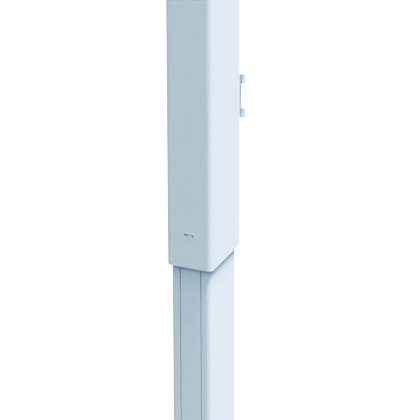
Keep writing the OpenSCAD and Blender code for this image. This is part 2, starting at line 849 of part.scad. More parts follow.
module socket_screws() {
    color("silver") for (x = [-1, 1], z = [-1, 1]) {
        head_y = outlet_face + flange_t;
        rod_y(x * socket_screw, outlet_z + z * socket_screw, screw_r * 1.7, head_y, head_y + 2.5);
        rod_y(x * socket_screw, outlet_z + z * socket_screw, screw_r,
            half_d - panel_t - clamp_t - nut_t - 1, head_y + 0.01);
    }
}

module socket_nuts() {
    nut_y = half_d - panel_t - clamp_t;
    color("gainsboro") for (x = [-1, 1], z = [-1, 1]) difference() {
        translate([x * socket_screw, nut_y - nut_t, outlet_z + z * socket_screw])
            rotate([-90, 0, 0]) cylinder(h = nut_t, r = screw_r * 1.8, $fn = 6);
        rod_y(x * socket_screw, outlet_z + z * socket_screw, screw_r + run_gap,
            nut_y - nut_t - past, nut_y + past);
    }
}

module lock_actuator() {
    z = outlet_z + actuator_z;
    color("darkslategray") difference() {
        block([-actuator_half_x, lock_pin_y - actuator_half_y, z],
            [actuator_half_x, lock_pin_y + actuator_half_y, z + actuator_h]);
        translate([0, lock_pin_y, z - past]) cylinder(h = actuator_h - 4, r = lock_pin_r + run_gap);
    }
}

// Bolt that holds a plug in: it stands retracted, and drops into the gap round the insert.
module lock_pin() {
    color("silver") translate([0, lock_pin_y, outlet_z + shroud_flat + 0.5])
        cylinder(h = lock_pin_len, r = lock_pin_r);
}

function unit(v) = v / norm(v);
function tangent(p, i) = unit(p[min(i + 1, len(p) - 1)] - p[max(i - 1, 0)]);

// A tube of flat-sided rings swept along points that lie in a plane of constant X.
module swept_tube(p, r, sides) {
    rings = [for (i = [0:len(p) - 1]) let (t = tangent(p, i), up = cross(t, [1, 0, 0]))
        for (k = [0:sides - 1]) let (a = 360 * k / sides) p[i] + r * (cos(a) * [1, 0, 0] + sin(a) * up)];
    n = len(p);
    walls = [for (i = [0:n - 2], k = [0:sides - 1]) let (j = (k + 1) % sides)
        [i * sides + k, i * sides + j, (i + 1) * sides + j, (i + 1) * sides + k]];
    start = [for (k = [sides - 1:-1:0]) k];
    finish = [for (k = [0:sides - 1]) (n - 1) * sides + k];
    polyhedron(points = rings, faces = concat(walls, [start, finish]), convexity = 4);
}

module socket_lead() {
    route = concat([for (q = lead_out) [0, q[0], row_z(2) - device_h / 2 + q[1]]],
        [for (q = lead_in) [0, barrel_back + q[0], outlet_z + q[1]]]);
    color("darkorange") swept_tube(route, lead_r, 10);
}

module hinge_pins() {
    length = knuckle_h + 2 * ear_t + 2 * slide_gap;
    color("dimgray") for (s = [-1, 1])
        translate([pin_x, pin_y, outlet_z + s * knuckle_z]) cylinder(h = length, r = pin_r, center = true);
}

// Dished cover with two arms that end in the hinge knuckles.
module outlet_lid() {
    color("aliceblue") difference() {
        union() {
            plate_y(2 * lid_half_w, 2 * lid_half_h, lid_r, lid_back, lid_top, outlet_z);
            for (s = [-1, 1]) translate([0, 0, outlet_z + s * knuckle_z]) {
                block([lid_half_w - 4, lid_back, -knuckle_h / 2 + (s < 0 ? 3 : 0)],
                    [pin_x, arm_top, knuckle_h / 2 - (s > 0 ? 3 : 0)]);
                translate([pin_x, pin_y, 0]) cylinder(h = knuckle_h, r = knuckle_r, center = true);
            }
        }
        plate_y(2 * (lid_half_w - lid_wall), 2 * (lid_half_h - lid_wall), lid_r - lid_wall,
            lid_back - past, lid_top - lid_wall, outlet_z);
        for (s = [-1, 1]) translate([pin_x, pin_y, outlet_z + s * knuckle_z])
            cylinder(h = knuckle_h + 2 * past, r = pin_r + run_gap, center = true);
    }
}

module lid_gasket() {
    color("black") difference() {
        plate_y(2 * lid_half_w, 2 * lid_half_h, lid_r, outlet_face + slide_gap, lid_back, outlet_z);
        plate_y(2 * (lid_half_w - lid_wall), 2 * (lid_half_h - lid_wall), lid_r - lid_wall,
            outlet_face - past, lid_back + past, outlet_z);
    }
}

base_plate();
mast();
cable_cover_strip();
closing_collar();
head_plate();
head_screws();
earth_stud();
housing_shell();
housing_screws();
light_ring();
light_board();
top_cap();
cap_screws();
upper_bracket();
chassis_plate();
chassis_screws();
din_rails();
terminal_block();
breaker_body();
breaker_lever();
contactor();
energy_meter();
charge_controller();
power_supply();
modem();
antenna();
panel_frame();
panel_gasket();
service_panel();
lower_lock_barrel();
lower_lock_rotor();
upper_lock_barrel();
upper_lock_rotor();
lock_nuts();
reader_window();
reader_board();
slot_bezel();
release_slider();
latch_keeper();
outlet_frame();
socket_body();
socket_insert();
socket_contacts();
outlet_clamps();
socket_screws();
socket_nuts();
lock_actuator();
lock_pin();
socket_lead();
hinge_pins();
outlet_lid();
lid_gasket();
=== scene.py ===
import bpy
import bmesh
import json
import math
from mathutils import Matrix, Quaternion, Vector


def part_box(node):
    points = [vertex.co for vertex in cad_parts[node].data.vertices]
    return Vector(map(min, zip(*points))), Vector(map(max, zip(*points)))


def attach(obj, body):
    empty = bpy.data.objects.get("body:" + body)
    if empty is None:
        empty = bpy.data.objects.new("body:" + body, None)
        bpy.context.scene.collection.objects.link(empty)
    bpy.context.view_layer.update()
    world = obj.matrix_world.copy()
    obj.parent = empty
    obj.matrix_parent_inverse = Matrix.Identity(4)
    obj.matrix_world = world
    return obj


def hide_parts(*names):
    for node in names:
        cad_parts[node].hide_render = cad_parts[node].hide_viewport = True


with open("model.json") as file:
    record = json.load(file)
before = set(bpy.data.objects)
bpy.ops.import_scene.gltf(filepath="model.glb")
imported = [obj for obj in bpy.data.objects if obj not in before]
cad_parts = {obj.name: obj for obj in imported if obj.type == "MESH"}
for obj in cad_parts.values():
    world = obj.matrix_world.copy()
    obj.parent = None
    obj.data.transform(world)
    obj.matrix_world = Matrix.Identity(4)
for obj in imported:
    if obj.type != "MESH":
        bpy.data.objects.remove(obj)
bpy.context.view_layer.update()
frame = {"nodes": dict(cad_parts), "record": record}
nodes = frame["nodes"]
record = frame["record"]
bodyOf = {node: body for body, members in record["behaviour"]["bodies"].items() for node in members}
slotOf = {row["node"]: row["material_slot"] for row in record["subparts"]}
scene = bpy.context.scene
print("frame loaded:", len(nodes), "nodes")


# Helpers: places from the frame, and meshes built, cut and finished in code.

def span(node):
    low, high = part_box(node)
    return Vector(low), Vector(high)


def middle(node):
    low, high = span(node)
    return (low + high) / 2


def newPiece(name, work):
    mesh = bpy.data.meshes.new(name)
    work.to_mesh(mesh)
    work.free()
    piece = bpy.data.objects.new(name, mesh)
    scene.collection.objects.link(piece)
    return piece


def dropPiece(piece):
    mesh = piece.data
    bpy.data.objects.remove(piece)
    bpy.data.meshes.remove(mesh)


def settle(piece):
    # turns the modifiers' result into the piece's own plain mesh
    graph = bpy.context.evaluated_depsgraph_get()
    result = bpy.data.meshes.new_from_object(piece.evaluated_get(graph), depsgraph=graph)
    old = piece.data
    piece.modifiers.clear()
    piece.data = result
    bpy.data.meshes.remove(old)
    return piece


def outline(halfA, halfB, radius, steps=14):
    # rounded rectangle, anticlockwise, with a short lead on each side of every arc
    radius = max(min(radius, halfA * 0.98, halfB * 0.98), 0.0002)
    lead = min(0.0008, 0.3 * min(halfA - radius, halfB - radius))
    points = []
    for corner, (signA, signB) in enumerate(((1, 1), (-1, 1), (-1, -1), (1, -1))):
        centre = Vector((signA * (halfA - radius), signB * (halfB - radius)))
        start = corner * math.pi / 2
        turn = [start + math.pi / 2 * i / steps for i in range(steps + 1)]
        arc = [centre + radius * Vector((math.cos(t), math.sin(t))) for t in turn]
        points.append(arc[0] + lead * Vector((math.sin(start), -math.cos(start))))
        points.extend(arc)
        finish = turn[-1]
        points.append(arc[-1] + lead * Vector((-math.sin(finish), math.cos(finish))))
    return points


def circle(radius, steps=40):
    return [radius * Vector((math.cos(2 * math.pi * i / steps), math.sin(2 * math.pi * i / steps)))
            for i in range(steps)]


def placeUp(centre):
    return lambda p, height: Vector((centre[0] + p.x, centre[1] + p.y, height))


def placeRear(centre):
    # outline in the XZ plane, heights along +Y
    return lambda p, height: Vector((centre[0] - p.x, height, centre[2] + p.y))


def loft(name, rings, place, closed=False):
    # rings: (outline points, height) pairs with equal counts; open lofts get a face at each end
    work = bmesh.new()
    rows = [[work.verts.new(place(p, height)) for p in points] for points, height in rings]
    count = len(rows[0])
    pairs = list(zip(rows, rows[1:]))
    if closed:
        pairs.append((rows[-1], rows[0]))
    for lower, upper in pairs:
        for i in range(count):
            j = (i + 1) % count
            work.faces.new((lower[i], lower[j], upper[j], upper[i]))
    if not closed:
        work.faces.new(list(reversed(rows[0])))
        work.faces.new(rows[-1])
    return newPiece(name, work)


def quarter(radius, steps, flip=False):
    # (inset, rise) along a rounded edge, from the face below it to the face beside it
    turns = [math.pi / 2 * i / steps for i in range(steps + 1)]
    points = [(radius * (1 - math.sin(t)), radius * (1 - math.cos(t))) for t in turns]
    return list(reversed(points)) if flip else points


def joinInto(piece, others, kind="UNION"):
    for other in others:
        step = piece.modifiers.new("join", "BOOLEAN")
        step.operation = kind
        step.solver = "EXACT"
        step.object = other
    settle(piece)
    for other in others:
        dropPiece(other)
    return piece


def carve(piece, others):
    return joinInto(piece, others, "DIFFERENCE")


def softEdges(piece, width, segments=2, angle=32, keep=None):
    # rounds every sharp edge, or those that keep(edge) picks
    work = bmesh.new()
    work.from_mesh(piece.data)
    bmesh.ops.remove_doubles(work, verts=work.verts, dist=1e-6)
    bmesh.ops.dissolve_limit(work, angle_limit=math.radians(0.4), verts=work.verts, edges=work.edges)
    sharp = [e for e in work.edges if len(e.link_faces) == 2
             and e.calc_face_angle(0) > math.radians(angle) and (keep is None or keep(e))]
    bmesh.ops.bevel(work, geom=sharp, offset=width, offset_type="OFFSET", segments=segments,
                    profile=0.5, affect="EDGES", clamp_overlap=True)
    work.to_mesh(piece.data)
    work.free()
    return piece


def evenShading(piece, angle=34):
    piece.data.shade_smooth()
    piece.data.set_sharp_from_angle(angle=math.radians(angle))
    weigh = piece.modifiers.new("weigh", "WEIGHTED_NORMAL")
    weigh.keep_sharp = True
    weigh.weight = 60
    return settle(piece)


def dress(piece, material, body, slot, *replaced):
    piece.data.materials.clear()
    piece.data.materials.append(material)
    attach(piece, body)
    if replaced:
        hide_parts(*replaced)
    return piece


def pieceName(node, ending="Fine"):
    first, *rest = node.split("_")
    return first + "".join(word.capitalize() for word in rest) + ending


def refine(node, width=0.0003, segments=2):
    # a merged copy of a CAD node with rounded edges
    work = bmesh.new()
    work.from_mesh(nodes[node].data)
    piece = newPiece(pieceName(node), work)
    softEdges(piece, width, segments)
    return evenShading(piece)


# Camera: aimed at a point just above the housing's lower edge.

housingLow, housingHigh = span("housing_shell")
mastLow, mastHigh = span("mast")
cameraView = {
    "azimuth": 22.98,
    "elevation": 24.27,
    "distance": 8.2,
    "lens": 290.2,
    "roll": -0.128,
    "aimSide": 0.0155,
    "aimRise": 0.1172,
}


def makeCamera(view):
    turn, tilt = math.radians(view["azimuth"]), math.radians(view["elevation"])
    back = Vector((math.sin(turn) * math.cos(tilt), -math.cos(turn) * math.cos(tilt), math.sin(tilt)))
    side = Vector((math.cos(turn), math.sin(turn), 0))
    aim = side * view["aimSide"] + Vector((0, 0, housingLow.z + view["aimRise"]))
    data = bpy.data.cameras.new("camera")
    data.lens = view["lens"]
    data.clip_end = 200
    camera = bpy.data.objects.new("camera", data)
    camera.location = aim + back * view["distance"]
    camera.rotation_mode = "QUATERNION"
    camera.rotation_quaternion = ((-back).to_track_quat("-Z", "Y")
                                  @ Quaternion((0, 0, 1), math.radians(view["roll"])))
    scene.collection.objects.link(camera)
    scene.camera = camera


makeCamera(cameraView)
print("camera placed")


# Shader groups shared by the materials.

def addNode(tree, kind, inputs=(), **settings):
    node = tree.nodes.new(kind)
    for key, value in settings.items():
        setattr(node, key, value)
    for key, value in dict(inputs).items():
        if isinstance(value, bpy.types.NodeSocket):
            tree.links.new(value, node.inputs[key])
        else:
            node.inputs[key].default_value = value
    return node


def newGroup(name, inputs, outputs):
    tree = bpy.data.node_groups.new(name, "ShaderNodeTree")
    for label, kind, value in inputs:
        tree.interface.new_socket(label, in_out="INPUT", socket_type=kind).default_value = value
    for label, kind in outputs:
        tree.interface.new_socket(label, in_out="OUTPUT", socket_type=kind)
    return tree, tree.nodes.new("NodeGroupInput"), tree.nodes.new("NodeGroupOutput")


def scaledNoise(tree, vector, scale, detail=3.0, rough=0.5):
    return addNode(tree, "ShaderNodeTexNoise",
                   {"Vector": vector, "Scale": scale, "Detail": detail, "Roughness": rough}).outputs["Fac"]


def remap(tree, value, low, high, toLow, toHigh):
    return addNode(tree, "ShaderNodeMapRange", {
        "Value": value, "From Min": low, "From Max": high, "To Min": toLow, "To Max": toHigh,
    }).outputs["Result"]


def blendColour(tree, factor, a, b):
    mix = addNode(tree, "ShaderNodeMix", data_type="RGBA")
    for index, value in ((0, factor), (6, a), (7, b)):
        if isinstance(value, bpy.types.NodeSocket):
            tree.links.new(value, mix.inputs[index])
        else:
            mix.inputs[index].default_value = value
    return mix.outputs[2]


def calculate(tree, kind, a, b=0.0):
    node = addNode(tree, "ShaderNodeMath", operation=kind)
    for index, value in enumerate((a, b)):
        if isinstance(value, bpy.types.NodeSocket):
            tree.links.new(value, node.inputs[index])
        else:
            node.inputs[index].default_value = value
    return node.outputs[0]


def makeCoatGroup():
    # baked powder coat: slow cloudy tone, fine orange peel, tiny pits
    tree, start, end = newGroup("coatGrain", (
        ("Colour", "NodeSocketColor", (1, 1, 1, 1)), ("Cloud", "NodeSocketFloat", 0.05),
        ("Peel size", "NodeSocketFloat", 420.0), ("Gloss", "NodeSocketFloat", 0.4)),
        (("Colour", "NodeSocketColor"), ("Roughness", "NodeSocketFloat"), ("Height", "NodeSocketFloat")))
    place = addNode(tree, "ShaderNodeTexCoord").outputs["Object"]
    slow = scaledNoise(tree, place, 7.0, 4.0)
    fleck = scaledNoise(tree, place, 900.0, 1.0)
    dark = addNode(tree, "ShaderNodeHueSaturation",
                   {"Color": start.outputs["Colour"], "Saturation": 1.1, "Value": 0.82}).outputs[0]
    cloudy = calculate(tree, "MULTIPLY", remap(tree, slow, 0.35, 0.7, 0.0, 1.6), start.outputs["Cloud"])
    flecked = calculate(tree, "ADD", cloudy, remap(tree, fleck, 0.58, 0.75, 0.0, 0.06))
    tree.links.new(blendColour(tree, flecked, start.outputs["Colour"], dark), end.inputs["Colour"])
    wander = remap(tree, scaledNoise(tree, place, 24.0, 3.0), 0.3, 0.7, -0.05, 0.06)
    tree.links.new(calculate(tree, "ADD", start.outputs["Gloss"], wander), end.inputs["Roughness"])
    peel = addNode(tree, "ShaderNodeTexVoronoi", {"Vector": place, "Scale": start.outputs["Peel size"]},
                   feature="SMOOTH_F1")
    waves = scaledNoise(tree, place, 150.0, 2.0)
    height = calculate(tree, "ADD", peel.outputs["Distance"], calculate(tree, "MULTIPLY", waves, 0.8))
    tree.links.new(height, end.inputs["Height"])
    return tree


def makeDustAndShadeGroup():
    # dust near the ground in faint streaks; painted shade just under the housing; on level faces a grey film,
    # partly settled dust and partly painted shade
    tree, start, end = newGroup("dustAndPaintedShade", (
        ("Colour", "NodeSocketColor", (1, 1, 1, 1)), ("Dust", "NodeSocketColor", (0.42, 0.38, 0.33, 1)),
        ("Reach", "NodeSocketFloat", 0.2), ("Amount", "NodeSocketFloat", 0.3),
        ("Shelter height", "NodeSocketFloat", 0.55), ("Shelter amount", "NodeSocketFloat", 0.0),
        ("Settled", "NodeSocketFloat", 0.0)),
        (("Colour", "NodeSocketColor"), ("Mask", "NodeSocketFloat")))
    place = addNode(tree, "ShaderNodeTexCoord").outputs["Object"]
    rise = addNode(tree, "ShaderNodeSeparateXYZ", {"Vector": place}).outputs["Z"]
    low = calculate(tree, "POWER", calculate(tree, "MAXIMUM", calculate(
        tree, "SUBTRACT", 1.0, calculate(tree, "DIVIDE", rise, start.outputs["Reach"])), 0.0), 1.6)
    streaks = addNode(tree, "ShaderNodeMapping", {"Vector": place, "Scale": (60.0, 60.0, 2.5)}).outputs[0]
    uneven = remap(tree, scaledNoise(tree, streaks, 1.0, 4.0, 0.6), 0.35, 0.7, 0.15, 1.0)
    mask = calculate(tree, "MULTIPLY", calculate(tree, "MULTIPLY", low, uneven), start.outputs["Amount"])
    tree.links.new(mask, end.inputs["Mask"])
    toned = blendColour(tree, mask, start.outputs["Colour"], start.outputs["Dust"])
    below = calculate(tree, "SUBTRACT", start.outputs["Shelter height"], rise)  # painted shade under the housing's overhang
    near = remap(tree, below, 0.0, 0.075, 1.0, 0.0)
    # painted shade: the mast darkens towards a dark blue-grey within 75 mm under the housing, standing in for
    # the overhang's shadow
    shadeMask = calculate(tree, "MULTIPLY", calculate(tree, "MULTIPLY", near, start.outputs["Shelter amount"]),
                      remap(tree, scaledNoise(tree, place, 30.0, 3.0), 0.3, 0.7, 0.85, 1.1))
    shaded = blendColour(tree, shadeMask, toned, (0.06, 0.075, 0.085, 1))
    # level faces: a grey film, partly settled dust and partly painted shade that tones down up-facing faces lit
    # by the lamps from above
    facing = addNode(tree, "ShaderNodeNewGeometry").outputs["Normal"]
    upward = addNode(tree, "ShaderNodeSeparateXYZ", {"Vector": facing}).outputs["Z"]
    level = remap(tree, upward, 0.55, 0.97, 0.0, 1.0)
    patchy = remap(tree, scaledNoise(tree, place, 18.0, 5.0, 0.6), 0.3, 0.7, 0.75, 1.0)
    levelDustShade = calculate(tree, "MULTIPLY", calculate(tree, "MULTIPLY", level, patchy), start.outputs["Settled"])
    tree.links.new(blendColour(tree, levelDustShade, shaded, (0.17, 0.18, 0.175, 1)), end.inputs["Colour"])
    return tree


def makeMouldGroup():
    # moulded plastic: spark-eroded grain, faint flow marks
    tree, start, end = newGroup("mouldGrain", (
        ("Colour", "NodeSocketColor", (0.1, 0.1, 0.1, 1)), ("Grain size", "NodeSocketFloat", 900.0),
        ("Gloss", "NodeSocketFloat", 0.5)),
        (("Colour", "NodeSocketColor"), ("Roughness", "NodeSocketFloat"), ("Height", "NodeSocketFloat")))
    place = addNode(tree, "ShaderNodeTexCoord").outputs["Object"]
    light = addNode(tree, "ShaderNodeHueSaturation",
                    {"Color": start.outputs["Colour"], "Saturation": 0.8, "Value": 1.5}).outputs[0]
    flow = remap(tree, scaledNoise(tree, place, 35.0, 5.0, 0.65), 0.35, 0.75, 0.0, 0.35)
    tree.links.new(blendColour(tree, flow, start.outputs["Colour"], light), end.inputs["Colour"])
    grain = addNode(tree, "ShaderNodeTexVoronoi", {"Vector": place, "Scale": start.outputs["Grain size"]})
    tree.links.new(grain.outputs["Distance"], end.inputs["Height"])
    shine = remap(tree, grain.outputs["Distance"], 0.0, 0.8, -0.04, 0.08)
    tree.links.new(calculate(tree, "ADD", start.outputs["Gloss"], shine), end.inputs["Roughness"])
    return tree


def makeMetalGroup():
    # drawn or rolled metal: fine lines along one direction and a cloudy tarnish
    tree, start, end = newGroup("metalLines", (
        ("Colour", "NodeSocketColor", (0.6, 0.6, 0.6, 1)), ("Lines", "NodeSocketVector", (900.0, 900.0, 12.0)),
        ("Tarnish", "NodeSocketFloat", 0.2), ("Gloss", "NodeSocketFloat", 0.3)),
        (("Colour", "NodeSocketColor"), ("Roughness", "NodeSocketFloat"), ("Height", "NodeSocketFloat")))
    place = addNode(tree, "ShaderNodeTexCoord").outputs["Object"]
    drawn = addNode(tree, "ShaderNodeMapping", {"Vector": place, "Scale": start.outputs["Lines"]}).outputs[0]
    lines = scaledNoise(tree, drawn, 1.0, 2.0)
    cloud = scaledNoise(tree, place, 60.0, 4.0, 0.6)
    dull = addNode(tree, "ShaderNodeHueSaturation",
                   {"Color": start.outputs["Colour"], "Saturation": 1.1, "Value": 0.55}).outputs[0]
    stain = calculate(tree, "MULTIPLY", remap(tree, cloud, 0.4, 0.75, 0.0, 1.0), start.outputs["Tarnish"])
    tree.links.new(blendColour(tree, stain, start.outputs["Colour"], dull), end.inputs["Colour"])
    wander = calculate(tree, "ADD", remap(tree, lines, 0.3, 0.7, -0.06, 0.08),
                       calculate(tree, "MULTIPLY", stain, 0.5))
    tree.links.new(calculate(tree, "ADD", start.outputs["Gloss"], wander), end.inputs["Roughness"])
    tree.links.new(lines, end.inputs["Height"])
    return tree


def makeEdgeGroup():
    # mask of edges where handling has polished or lightened the surface
    tree, start, end = newGroup("edgeWear", (
        ("Colour", "NodeSocketColor", (0.1, 0.1, 0.1, 1)), ("Worn", "NodeSocketColor", (0.4, 0.4, 0.4, 1)),
        ("Width", "NodeSocketFloat", 0.0008), ("Amount", "NodeSocketFloat", 0.6)),
        (("Colour", "NodeSocketColor"), ("Mask", "NodeSocketFloat")))
    soft = addNode(tree, "ShaderNodeBevel", {"Radius": start.outputs["Width"]}, samples=6).outputs[0]
    flat = addNode(tree, "ShaderNodeNewGeometry").outputs["Normal"]
    match = addNode(tree, "ShaderNodeVectorMath", {0: soft, 1: flat}, operation="DOT_PRODUCT").outputs["Value"]
    bent = remap(tree, match, 0.99, 0.85, 0.0, 1.0)
    place = addNode(tree, "ShaderNodeTexCoord").outputs["Object"]
    patchy = remap(tree, scaledNoise(tree, place, 220.0, 4.0), 0.4, 0.62, 0.2, 1.0)
    mask = calculate(tree, "MULTIPLY", calculate(tree, "MULTIPLY", bent, patchy), start.outputs["Amount"])
    tree.links.new(mask, end.inputs["Mask"])
    tree.links.new(blendColour(tree, mask, start.outputs["Colour"], start.outputs["Worn"]),
                   end.inputs["Colour"])
    return tree


coatGrain = makeCoatGroup()
dustAndPaintedShade = makeDustAndShadeGroup()
mouldGrain = makeMouldGroup()
metalLines = makeMetalGroup()
edgeWear = makeEdgeGroup()


# Materials: each places the groups it needs around one Principled shader.

def newMaterial(name, **fixed):
    material = bpy.data.materials.new(name)
    material.use_nodes = True
    tree = material.node_tree
    shader = tree.nodes["Principled BSDF"]
    for label, value in fixed.items():
        shader.inputs[label.replace("_", " ")].default_value = value
    return material, tree, shader


def placeGroup(tree, group, **inputs):
    node = tree.nodes.new("ShaderNodeGroup")
    node.node_tree = group
    for label, value in inputs.items():
        label = label.replace("_", " ")
        if isinstance(value, bpy.types.NodeSocket):
            tree.links.new(value, node.inputs[label])
        else:
            node.inputs[label].default_value = value
    return node


def bump(tree, shader, height, distance, strength=1.0):
    node = addNode(tree, "ShaderNodeBump", {"Height": height, "Distance": distance, "Strength": strength})
    tree.links.new(node.outputs[0], shader.inputs["Normal"])


def coatMaterial(name, colour, gloss=0.42, cloud=0.05, dust=0.25, reach=0.3, peel=420.0, paintedShade=0.0,
                 levelDustShade=0.0):
    material, tree, shader = newMaterial(name, Coat_Weight=0.12, Coat_Roughness=0.25)
    coat = placeGroup(tree, coatGrain, Colour=(*colour, 1), Cloud=cloud, Peel_size=peel, Gloss=gloss)
    # the group's colour holds ground dust, painted shade under the housing, and the level-face film of dust and
    # painted shade
    toned = placeGroup(tree, dustAndPaintedShade, Colour=coat.outputs["Colour"], Reach=reach, Amount=dust,
                       Shelter_height=housingLow.z, Shelter_amount=paintedShade, Settled=levelDustShade)
    tree.links.new(toned.outputs["Colour"], shader.inputs["Base Color"])
    dull = calculate(tree, "ADD", coat.outputs["Roughness"],
                     calculate(tree, "MULTIPLY", toned.outputs["Mask"], 0.4))
    tree.links.new(dull, shader.inputs["Roughness"])
    bump(tree, shader, coat.outputs["Height"], 0.00006, 0.5)
    return material


def plasticMaterial(name, colour, gloss=0.5, grain=900.0, depth=0.00005, worn=None):
    material, tree, shader = newMaterial(name)
    mould = placeGroup(tree, mouldGrain, Colour=(*colour, 1), Grain_size=grain, Gloss=gloss)
    shown = mould.outputs["Colour"]
    if worn:
        edge = placeGroup(tree, edgeWear, Colour=shown, Worn=(*worn, 1), Width=0.0007, Amount=0.55)
        shown = edge.outputs["Colour"]
    tree.links.new(shown, shader.inputs["Base Color"])
    tree.links.new(mould.outputs["Roughness"], shader.inputs["Roughness"])
    bump(tree, shader, mould.outputs["Height"], depth, 0.6)
    return material


def metalMaterial(name, colour, gloss=0.3, tarnish=0.2, lines=(900.0, 900.0, 12.0), metallic=1.0):
    material, tree, shader = newMaterial(name, Metallic=metallic)
    metal = placeGroup(tree, metalLines, Colour=(*colour, 1), Lines=lines, Tarnish=tarnish, Gloss=gloss)
    tree.links.new(metal.outputs["Colour"], shader.inputs["Base Color"])
    tree.links.new(metal.outputs["Roughness"], shader.inputs["Roughness"])
    bump(tree, shader, metal.outputs["Height"], 0.00003, 0.4)
    return material


def rubberMaterial(name, colour):
    material, tree, shader = newMaterial(name, Specular_IOR_Level=0.35)
    mould = placeGroup(tree, mouldGrain, Colour=(*colour, 1), Grain_size=1500.0, Gloss=0.68)
    tree.links.new(mould.outputs["Colour"], shader.inputs["Base Color"])
    tree.links.new(mould.outputs["Roughness"], shader.inputs["Roughness"])
    bump(tree, shader, mould.outputs["Height"], 0.00004, 0.5)
    return material


def lensMaterial(name, colour):
    # frosted light guide: cloudy white plastic that lets some light through
    material, tree, shader = newMaterial(name, Transmission_Weight=0.55, IOR=1.49)
    mould = placeGroup(tree, mouldGrain, Colour=(*colour, 1), Grain_size=700.0, Gloss=0.42)
    tree.links.new(mould.outputs["Colour"], shader.inputs["Base Color"])
    tree.links.new(mould.outputs["Roughness"], shader.inputs["Roughness"])
    bump(tree, shader, mould.outputs["Height"], 0.00003, 0.4)
    return material


def recessMaterial(name, colour, litRecessColour, depth=0.003):
    # satin paint with painted light: paler behind the front face, inside the recess
    material, tree, shader = newMaterial(name, Roughness=0.4)
    coat = placeGroup(tree, coatGrain, Colour=(*colour, 1), Cloud=0.02, Gloss=0.34)
    place = addNode(tree, "ShaderNodeTexCoord").outputs["Object"]
    back = addNode(tree, "ShaderNodeSeparateXYZ", {"Vector": place}).outputs["Y"]
    recessLight = remap(tree, back, housingLow.y, housingLow.y + depth, 0.0, 1.0)
    shown = blendColour(tree, recessLight, coat.outputs["Colour"], (*litRecessColour, 1))
    tree.links.new(shown, shader.inputs["Base Color"])
    tree.links.new(coat.outputs["Roughness"], shader.inputs["Roughness"])
    bump(tree, shader, coat.outputs["Height"], 0.00006, 0.5)
    return material


def readerMaterial(name, colour, ring, ringRadius=0.017, ringWidth=0.0011, dotRadius=0.0032):
    # glossy window with a plain printed ring and dot where a card is held
    material, tree, shader = newMaterial(name, Coat_Weight=0.6, Coat_Roughness=0.04)
    mould = placeGroup(tree, mouldGrain, Colour=(*colour, 1), Grain_size=2200.0, Gloss=0.12)
    place = addNode(tree, "ShaderNodeTexCoord").outputs["Object"]
    centre = middle("reader_window")
    shifted = addNode(tree, "ShaderNodeVectorMath", {0: place, 1: tuple(centre)},
                      operation="SUBTRACT").outputs[0]
    across = addNode(tree, "ShaderNodeVectorMath", {0: shifted, 1: (1.0, 0.0, 1.0)},
                     operation="MULTIPLY").outputs[0]
    reach = addNode(tree, "ShaderNodeVectorMath", {0: across}, operation="LENGTH").outputs["Value"]
    offset = calculate(tree, "ABSOLUTE", calculate(tree, "SUBTRACT", reach, ringRadius))
    line = remap(tree, offset, ringWidth / 2, ringWidth / 2 + 0.0002, 1.0, 0.0)
    dot = remap(tree, reach, dotRadius, dotRadius + 0.0002, 1.0, 0.0)
    printed = calculate(tree, "MAXIMUM", line, dot)
    shown = blendColour(tree, printed, mould.outputs["Colour"], (*ring, 1))
    tree.links.new(shown, shader.inputs["Base Color"])
    tree.links.new(mould.outputs["Roughness"], shader.inputs["Roughness"])
    bump(tree, shader, mould.outputs["Height"], 0.00001, 0.3)
    return material


def boardMaterial(name):
    # circuit board: green mask with pale copper runs under it
    material, tree, shader = newMaterial(name, Coat_Weight=0.4, Coat_Roughness=0.15)
    place = addNode(tree, "ShaderNodeTexCoord").outputs["Object"]
    runs = addNode(tree, "ShaderNodeTexBrick", {
        "Vector": place, "Color1": (0.02, 0.17, 0.07, 1), "Color2": (0.025, 0.21, 0.09, 1),
        "Mortar": (0.10, 0.33, 0.14, 1), "Scale": 90.0, "Mortar Size": 0.05, "Brick Width": 0.9})
    mould = placeGroup(tree, mouldGrain, Colour=runs.outputs["Color"], Grain_size=1200.0, Gloss=0.3)
    tree.links.new(mould.outputs["Colour"], shader.inputs["Base Color"])
    tree.links.new(mould.outputs["Roughness"], shader.inputs["Roughness"])
    bump(tree, shader, runs.outputs["Fac"], 0.00004, 0.6)
    return material


